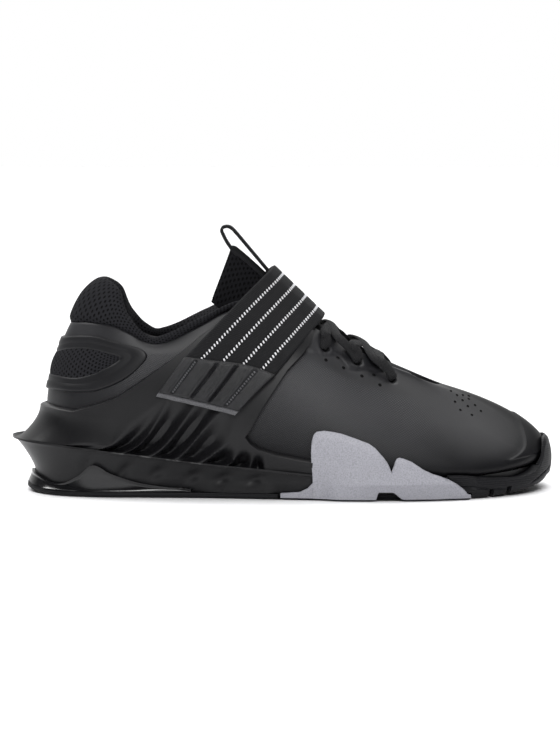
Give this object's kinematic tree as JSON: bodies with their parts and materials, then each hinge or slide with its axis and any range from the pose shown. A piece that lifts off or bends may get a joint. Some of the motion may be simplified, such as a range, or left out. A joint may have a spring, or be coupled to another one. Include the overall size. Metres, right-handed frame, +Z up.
{
  "type": "weightlifting shoe",
  "caption": "Low weightlifting shoe with a raised flared heel, moulded midsole wings, an instep strap with a ribbed tab, laces, a padded collar and a tongue pull loop.",
  "frame": {"origin": "centre of the shoe's length and width, on the floor under the outsole", "axes": "+X to the toe, +Y to the medial side (towards the other foot), +Z up"},
  "size_m": [0.31, 0.1087, 0.1504],
  "materials": {
    "upper_shell": "matt coated textile with a fine diagonal weave",
    "collar_mesh": "open black mesh over padding",
    "midsole_foam": "satin black moulded foam",
    "heel_plate": "glossy smoky black",
    "grey_rubber": "light grey with a fine speckle",
    "outsole_rubber": "black rubber",
    "insole_cloth": "dark cloth",
    "tongue_mesh": "open black mesh over padding",
    "webbing": "ribbed black webbing",
    "tab_leather": "charcoal, ribbed",
    "hook_fastener": "light grey hook strip",
    "lace_cord": "black ribbed flat lace"
  },
  "bodies": {
    "root": {"upper": "upper_shell", "collar": "collar_mesh", "midsole": "midsole_foam", "heel_plate": "heel_plate", "forefoot_wrap_lateral": "grey_rubber", "forefoot_wrap_medial": "grey_rubber", "outsole": "outsole_rubber", "insole": "insole_cloth", "heel_counter": "upper_shell", "tongue": "tongue_mesh", "pull_loop": "webbing", "strap": "webbing", "strap_tab": "tab_leather", "strap_hook": "hook_fastener", "lace": "lace_cord"}
  },
  "joints": []
}
